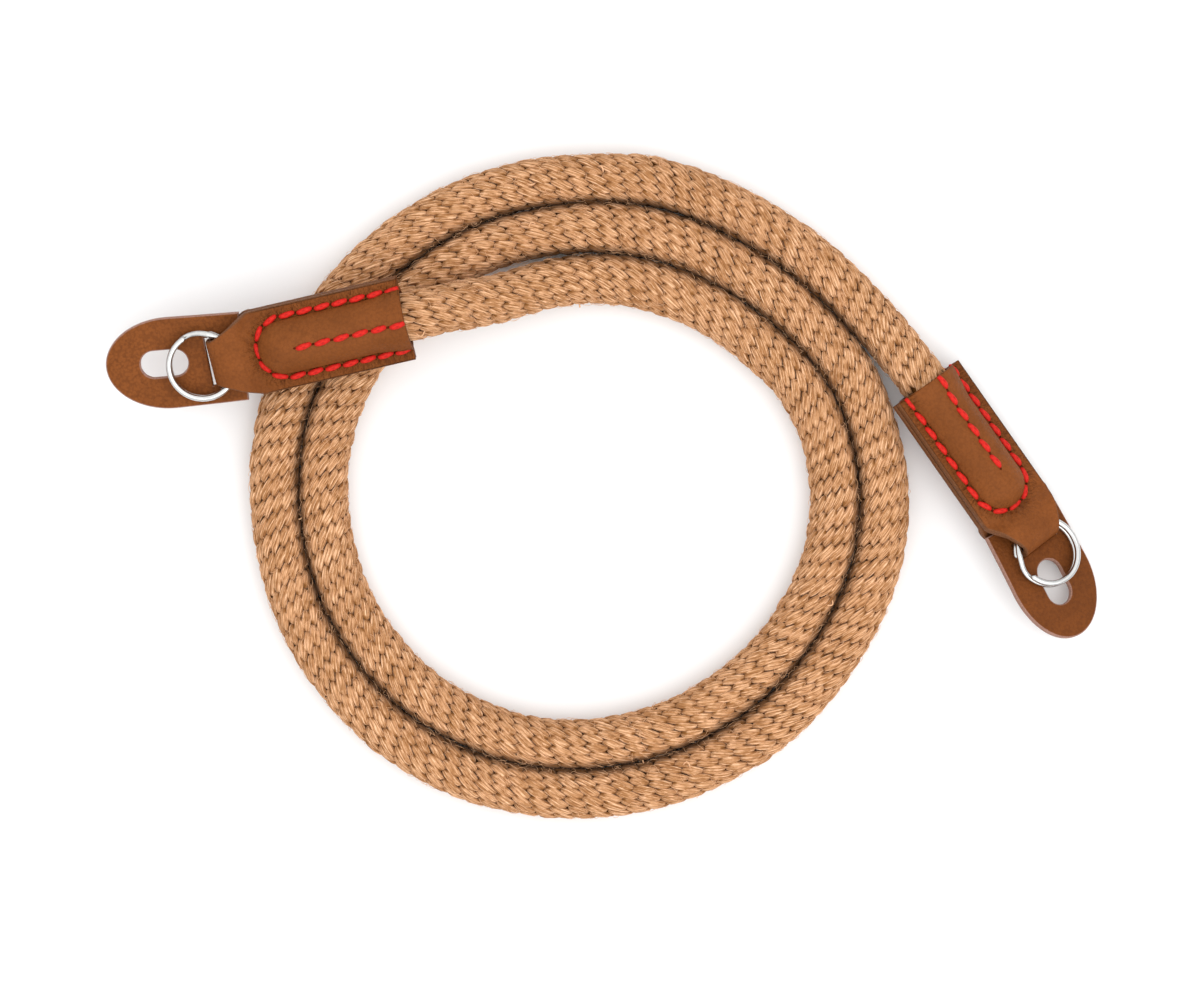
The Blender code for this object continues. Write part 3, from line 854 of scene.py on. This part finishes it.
def dent(x, y, stitches):
    """How deep the sewing pulls the leather in at a place."""
    deepest = 0.0
    for along, across, direction in stitches:
        dx, dy = x - along, y - across
        run = dx * math.cos(direction) + dy * math.sin(direction)
        off = -dx * math.sin(direction) + dy * math.cos(direction)
        beyond = max(abs(run) - CENTRE_PITCH / 2, 0.0)
        reach = math.hypot(beyond, off) / DIMPLE_RADIUS
        # Deepest at the holes, and half as deep under the middle of the stitch
        pull = 0.75 + 0.25 * math.cos(2 * math.pi * run / CENTRE_PITCH + math.pi)
        deepest = max(deepest, pull * math.exp(-reach * reach / 2))
    return DIMPLE_DEPTH * deepest


def row_place(x, y):
    """Millimetres round the pocket along its rows of sewing, and out from the middle."""
    past = max(x - ROW_STRAIGHT, 0.0)
    along = min(x, ROW_STRAIGHT) + ROW_OFFSET * math.atan2(past, abs(y))
    if y < 0:
        along = ROW_TOTAL - along
    return along * 1000, math.hypot(past, y) * 1000


def near_rows(x, y):
    """1 on the rows of sewing round the pocket, falling to 0 away from them."""
    out = row_place(x, y)[1] / 1000
    reach = CREASE_REACH if out > ROW_OFFSET else CREASE_REACH / 2
    return math.exp(-((out - ROW_OFFSET) / reach) ** 2)


def strip_rows():
    """(along, height, bulge side) down the strip: top layer, fold, bottom layer."""
    top = [BEND_CENTRE * i / TOP_STEPS for i in range(TOP_STEPS)]
    bottom = [BEND_CENTRE * (1 - i / BOTTOM_STEPS) for i in range(1, BOTTOM_STEPS + 1)]
    rows = [(along, layer_height(along, 1), 1) for along in top]
    middle = (LOOP_TOP + LOOP_BOTTOM) / 2
    half = (LOOP_TOP - LOOP_BOTTOM) / 2
    for i in range(FOLD_STEPS + 1):
        angle = math.pi / 2 - math.pi * i / FOLD_STEPS
        out = max(math.cos(angle), 0.0) ** (2 / BEND_POWER)
        up = abs(math.sin(angle)) ** (2 / BEND_POWER)
        rows.append((BEND_CENTRE + BEND_REACH * out, middle + math.copysign(half * up, angle), 0))
    return rows + [(along, layer_height(along, -1), -1) for along in bottom]


def leather_end(name, pose, world, material):
    """The folded strip with its rounded raw edges, pulled in along the sewing."""
    rows = strip_rows()
    shares = np.linspace(-1, 1, ACROSS_STEPS + 1)
    size = (len(rows), len(shares))
    middle = np.zeros((*size, 3))
    by_rows = np.zeros((*size, 2))
    creased = np.zeros(size)
    pulled = np.zeros(size)
    stitches = sewing_rows(pose)
    for i, (along, height, side) in enumerate(rows):
        wide = half_width(along) - RIM_ROUND
        for j, share in enumerate(shares):
            across = wide * share
            rise = side * bulge(pocket_radius(along), across) if side else 0.0
            middle[i, j] = (along, across, height + rise)
            if side and along < SEAM_LENGTH + 3 * DIMPLE_RADIUS:
                pulled[i, j] = dent(along, across, stitches)
            creased[i, j] = near_rows(along, across)
            by_rows[i, j] = row_place(along, across)
    run = unit(np.gradient(middle, axis=0))
    across = unit(np.gradient(middle, axis=1))
    normal = unit(np.cross(run, across))
    half = LEATHER / 2
    outer = middle + normal * (half - pulled)[..., None]
    inner = middle - normal * half

    # Each ring runs over the outer face, round one rim, back below and round the other rim
    angle = np.linspace(0, math.pi / 2, RIM_STEPS + 1)[1:]
    out = RIM_ROUND * np.sin(angle)
    down = half - RIM_ROUND * (1 - np.cos(angle))
    out = np.concatenate((out, out[::-1]))[:, None]
    down = np.concatenate((down, -down[::-1]))[:, None]
    right_rim = middle[:, -1:] + across[:, -1:] * out + normal[:, -1:] * down
    left_rim = middle[:, :1] - across[:, :1] * out + normal[:, :1] * down
    vertices = np.concatenate((outer, right_rim, inner[:, ::-1], left_rim[:, ::-1]), axis=1)
    rings, around = vertices.shape[:2]
    columns = len(shares)
    rim = len(out)
    edge = np.repeat([0.0, 1.0, RAW_BACK, 1.0], [columns, rim, columns, rim])
    no_crease = np.zeros((rings, rim))
    creases = np.concatenate((creased, no_crease, creased[:, ::-1], no_crease), axis=1)
    no_place = np.zeros((rings, rim, 2))
    places = np.concatenate((by_rows, no_place, by_rows[:, ::-1], no_place), axis=1)

    faces = ring_faces(rings, around)[:-2]
    for base in (0, (rings - 1) * around):
        top = [base + j for j in range(columns)]
        low = [base + columns + rim + (columns - 1 - j) for j in range(columns)]
        faces += [(top[j], low[j], low[j + 1], top[j + 1]) for j in range(columns - 1)]
        right = range(base + columns, base + columns + rim)
        left = range(base + 2 * columns + rim, base + around)
        faces += [(top[-1], *right, low[-1]), (low[0], *left, top[0])]
    obj = mesh_object(name, to_world(vertices, world), faces, [material])
    add_floats(obj.data, "edge", np.tile(edge, rings))
    add_floats(obj.data, "creased", creases)
    tidy_normals(obj.data)
    add_uv(obj.data, "rows", places.reshape(-1, 2))
    return obj


def thread_points(stitch, side):
    """(point, uv) of one stitch of thread, whose ends go down into the leather."""
    along, across, direction = stitch
    slant = direction + THREAD_SLANT
    points = []
    for i in range(THREAD_RINGS):
        t = 2 * i / (THREAD_RINGS - 1) - 1
        reach = THREAD_LENGTH / 2 * t
        x = max(along + reach * math.cos(slant), 0.0)
        y = across + reach * math.sin(slant)
        here, out = layer_point(x, y, side)
        step_x = THREAD_PROBE * math.cos(slant)
        step_y = THREAD_PROBE * math.sin(slant)
        ahead, _ = layer_point(x + step_x, y + step_y, side)
        sideways = out.cross((ahead - here).normalized())
        taper = math.sqrt(1 - abs(t) ** THREAD_END_POWER)
        radius = THREAD_WIDTH / 2 * mix(THREAD_END, 1.0, taper)
        centre = here - out * dent(x, y, (stitch,))
        centre += out * (radius * THREAD_SEAT - THREAD_SINK * t ** 4)
        for j in range(THREAD_SIDES):
            angle = 2 * math.pi * j / THREAD_SIDES
            lobe = radius * (1 + THREAD_LOBES * math.cos(2 * (angle - THREAD_TWIST * t)))
            point = centre + sideways * (lobe * math.cos(angle))
            point += out * (THREAD_FLAT * lobe * math.sin(angle))
            points.append((point, ((t + 1) / 2, j / THREAD_SIDES)))
    return points


def hole_points(stitch, end, side):
    """(point, uv) of the hole at one end (-1 or 1) of a stitch, or none at the mouth's rim."""
    along, across, direction = stitch
    x = along + HOLE_REACH * end * math.cos(direction)
    y = across + HOLE_REACH * end * math.sin(direction)
    if x <= HOLE_MARGIN:
        return []
    base, out = layer_point(x, y, side)
    base = base - out * (dent(x, y, (stitch,)) - HOLE_LIFT)
    forward = Vector((math.cos(direction), math.sin(direction), 0.0))
    sideways = out.cross(forward).normalized()
    forward = sideways.cross(out)
    points = []
    for height, radius in HOLE_RINGS:
        for j in range(HOLE_SIDES):
            angle = 2 * math.pi * j / HOLE_SIDES
            point = base + forward * (radius * HOLE_SHAPE[0] * math.cos(angle))
            point += sideways * (radius * HOLE_SHAPE[1] * math.sin(angle)) + out * height
            points.append((point, (0.5, j / HOLE_SIDES)))
    return points


def sewing(name, pose, world, thread, hole):
    """The red stitches on both faces of an end, and the holes that they go down."""
    vertices, faces, uvs, kinds = [], [], [], []

    def add(points, sides, kind):
        new = ring_faces(len(points) // sides, sides, len(vertices)) if points else []
        faces.extend(new)
        kinds.extend([kind] * len(new))
        vertices.extend(tuple(world @ point) for point, uv in points)
        uvs.extend(uv for point, uv in points)

    for side in (1, -1):
        for stitch in sewing_rows(pose):
            add(thread_points(stitch, side), THREAD_SIDES, 0)
            for end in (-1, 1):
                add(hole_points(stitch, end, side), HOLE_SIDES, 1)
    obj = mesh_object(name, vertices, faces, [thread, hole])
    obj.data.polygons.foreach_set("material_index", kinds)
    add_uv(obj.data, "stitch", uvs)
    tidy_normals(obj.data)
    return obj


# Rings and tabs

def split_ring(name, world, material):
    """Two coils of round wire, with a short climb from one to the other."""
    turned = np.linspace(RING_CROSSING_HALF, 4 * math.pi - RING_CROSSING_HALF, RING_STEPS)
    climbed = (turned - 2 * math.pi) / (2 * RING_CROSSING_HALF) + 0.5
    rise = (RING_WIRE + RING_TURN_GAP) * (np.array([ease(c) for c in climbed]) - 0.5)
    angle = RING_CROSSING - turned
    radius = (RING_DIAMETER - RING_WIRE) / 2
    outward = np.stack([np.cos(angle), np.sin(angle), np.zeros_like(angle)], axis=-1)
    centres = outward * radius + np.array([RING_CENTRE, 0, RING_HEIGHT])
    centres[:, 2] += rise
    wire = np.full(RING_STEPS, RING_WIRE / 2)
    wire[[0, -1]] *= WIRE_END
    round_angle = np.linspace(0, 2 * math.pi, RING_SIDES, endpoint=False)
    offset = np.cos(round_angle)[None, :, None] * outward[:, None, :]
    offset = offset + np.sin(round_angle)[None, :, None] * np.array([0, 0, 1.0])
    points = centres[:, None, :] + offset * wire[:, None, None]
    faces = ring_faces(RING_STEPS, RING_SIDES)
    obj = mesh_object(name, to_world(points, world), faces, [material])
    tidy_normals(obj.data)
    return obj


def tab_outline(length):
    """Corners of the tab, from its neck round its half-round tip."""
    shoulder = length - TAB_TIP_LENGTH
    outline = [(0.0, -TAB_NECK_WIDTH / 2)]
    for i in range(TIP_STEPS + 1):
        angle = math.pi * i / TIP_STEPS - math.pi / 2
        outline.append((shoulder + TAB_TIP_LENGTH * math.cos(angle), TAB_WIDTH / 2 * math.sin(angle)))
    outline.append((0.0, TAB_NECK_WIDTH / 2))
    return outline


def slot_outline(length):
    """Corners of the slot for the lug, a half circle at each end."""
    centre = length - SLOT_FROM_TIP
    straight = (SLOT_LENGTH - SLOT_WIDTH) / 2
    outline = []
    for end in (1, -1):
        for i in range(SLOT_STEPS + 1):
            angle = math.pi * (i / SLOT_STEPS - 0.5)
            x = centre + end * (straight + SLOT_WIDTH / 2 * math.cos(angle))
            outline.append((x, end * SLOT_WIDTH / 2 * math.sin(angle)))
    return outline


def slit_outline(gap, slit_turn):
    """Corners of the slit for the tongue, with a gap to the fold and turned from it."""
    half_across = TONGUE_WIDTH / 2 + SEAT_GAP
    slack = half_across * math.sin(-slit_turn)
    to_tab = Matrix.Rotation(-TAB_TURN, 2)
    turn = Matrix.Rotation(slit_turn, 2)
    middle = Vector((TAB_TUCK + gap + slack - SLIT_LENGTH / 2, -TAB_OFF_CENTRE))
    corners = []
    for x, y in ((-1, -1), (1, -1), (1, 1), (-1, 1)):
        corner = turn @ Vector((x * SLIT_LENGTH / 2, y * half_across))
        corners.append(tuple(to_tab @ (middle + corner)))
    return corners


def protector(name, length, slit, world, material):
    """A tab with rounded raw edges, a slot and a slit, drooping a little at its tip."""
    curve = bpy.data.curves.new(name, "CURVE")
    curve.dimensions = "2D"
    curve.fill_mode = "BOTH"
    curve.bevel_depth = TAB_ROUND
    curve.bevel_resolution = 2
    curve.offset = -TAB_ROUND
    curve.extrude = TAB_LEATHER / 2 - TAB_ROUND
    for outline in (tab_outline(length), slot_outline(length), slit_outline(*slit)):
        spline = curve.splines.new("POLY")
        spline.points.add(len(outline) - 1)
        for target, (x, y) in zip(spline.points, outline):
            target.co = (x, y, 0.0, 1.0)
        spline.use_cyclic_u = True
    flat = new_object(name + "_outline", curve)
    evaluated = flat.evaluated_get(bpy.context.evaluated_depsgraph_get())
    mesh = bpy.data.meshes.new_from_object(evaluated)
    bpy.data.objects.remove(flat, do_unlink=True)

    bm = bmesh.new()
    bm.from_mesh(mesh)
    bmesh.ops.remove_doubles(bm, verts=bm.verts, dist=WELD)
    cuts = [(Vector((TAB_GRID * i, 0, 0)), (1, 0, 0)) for i in range(1, int(length / TAB_GRID))]
    half_rows = int(TAB_WIDTH / 2 / TAB_GRID)
    cuts += [(Vector((0, TAB_GRID * i, 0)), (0, 1, 0)) for i in range(-half_rows, half_rows + 1)]
    for place, direction in cuts:
        geometry = bm.verts[:] + bm.edges[:] + bm.faces[:]
        bmesh.ops.bisect_plane(bm, geom=geometry, dist=WELD, plane_co=place, plane_no=direction)
    edge = bm.verts.layers.float.new("edge")
    flat_top = TAB_LEATHER / 2 - WELD
    for vert in bm.verts:
        x, y, z = vert.co
        by_slit = abs(x) < TAB_TUCK + SLIT_LENGTH / 4 and abs(y) < SLIT_WALL
        if by_slit or z > flat_top:
            vert[edge] = 0.0
        else:
            vert[edge] = RAW_BACK if z < -flat_top else 1.0
        share = max((x - TAB_TUCK) / (length - TAB_TUCK), 0.0)
        vert.co.z -= TAB_DROOP * share * share
    start = Matrix.Translation((TAB_START, TAB_OFF_CENTRE, TAB_HEIGHT))
    place = start @ Matrix.Rotation(TAB_TURN, 4, "Z")
    bm.transform(world @ place)
    bmesh.ops.recalc_face_normals(bm, faces=bm.faces)
    bm.to_mesh(mesh)
    bm.free()
    mesh.name = name
    mesh.materials.clear()
    mesh.materials.append(material)
    mesh.shade_smooth()
    mesh.set_sharp_from_angle(angle=TAB_SHARP)
    return new_object(name, mesh)


# Room, camera and pieces

def make_room():
    """A pale floor, a white surround that is brightest overhead, and one large soft light."""
    bpy.ops.mesh.primitive_plane_add(size=FLOOR_SIZE, location=(0, 0, FLOOR_HEIGHT))
    floor = bpy.context.active_object
    floor.name = "floor"
    floor.data.materials.append(floor_material())

    world = bpy.data.worlds.new("white_surround")
    world.use_nodes = True
    n = Nodes(world.node_tree)
    background = world.node_tree.nodes["Background"].inputs
    direction = n.add("ShaderNodeTexCoord").outputs["Generated"]
    height = n.add("ShaderNodeSeparateXYZ", {"Vector": direction}).outputs[2]
    share = n.ramp(height, 0.0, OVERHEAD_FROM)
    n.set(background["Color"], n.blend(share, LOW_LIGHT, OVERHEAD_LIGHT))
    background["Strength"].default_value = WORLD_STRENGTH
    bpy.context.scene.world = world

    light = bpy.data.lights.new("softbox", "AREA")
    light.energy = KEY_POWER
    light.size = KEY_SIZE
    lamp = new_object("softbox", light)
    lamp.location = KEY_PLACE
    lamp.rotation_euler = (-Vector(KEY_PLACE)).to_track_quat("-Z", "Y").to_euler()
    bpy.context.scene.view_settings.view_transform = "Standard"


def make_camera():
    """A camera straight above the coil, at the photo's scale."""
    data = bpy.data.cameras.new("photo_camera")
    data.sensor_fit = "HORIZONTAL"
    data.sensor_width = SENSOR_WIDTH
    data.lens = SENSOR_WIDTH * (CAMERA_HEIGHT - ROPE_REST) / (PHOTO_WIDTH * PHOTO_PIXEL)
    camera = new_object("photo_camera", data)
    camera.location = (*PHOTO_CENTRE, CAMERA_HEIGHT)
    bpy.context.scene.camera = camera


def stand_for(obj, nodes):
    """The piece rides on the strap's one body, in place of these solids."""
    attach(obj, "root")
    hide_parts(*nodes)


def main():
    make_camera()
    frames = [end_frame(pose) for pose in ENDS]
    path = RopePath(frames)
    core = rope_core(path, core_material())
    stand_for(core, ["rope"])
    cotton = cotton_material()
    for index in range(STRAND_PIECES):
        columns = np.arange(index, COLUMNS, STRAND_PIECES)
        strands = braid_strands("rope_strands_%d" % (index + 1), path, columns, cotton, seed=index + 1)
        stand_for(strands, ["rope"])

    fibres = stray_fibres("rope_loose_fibres", path, fibre_material(), seed=STRAND_PIECES + 1)
    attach(fibres, "root")

    hide = leather_material("end_leather", HIDE_LIGHT, RAW_EDGE, END_MOTTLE)
    # The right tab gets a darker copy of the hide, as painted shade
    tab_hides = {
        side: leather_material("tab_leather_" + side, light, TAB_EDGE, TAB_MOTTLE)
        for side, light in (("left", HIDE_LIGHT), ("right", RIGHT_TAB_SHADED_HIDE))
    }
    thread = thread_material()
    hole = hole_material()
    steel = steel_material()
    for pose, world in zip(ENDS, frames):
        side = pose.side
        end = leather_end("end_cover_" + side, pose, world, hide)
        stand_for(end, ["leather_end_" + side])
        threads = sewing("sewing_" + side, pose, world, thread, hole)
        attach(threads, "root")
        ring = split_ring("ring_" + side, world, steel)
        stand_for(ring, ["split_ring_" + side])
        slit = OPEN_SLIT if side == "left" else CLOSED_SLIT
        tab = protector("tab_" + side, pose.tab_length, slit, world, tab_hides[side])
        stand_for(tab, ["protector_" + side])
    make_room()


main()
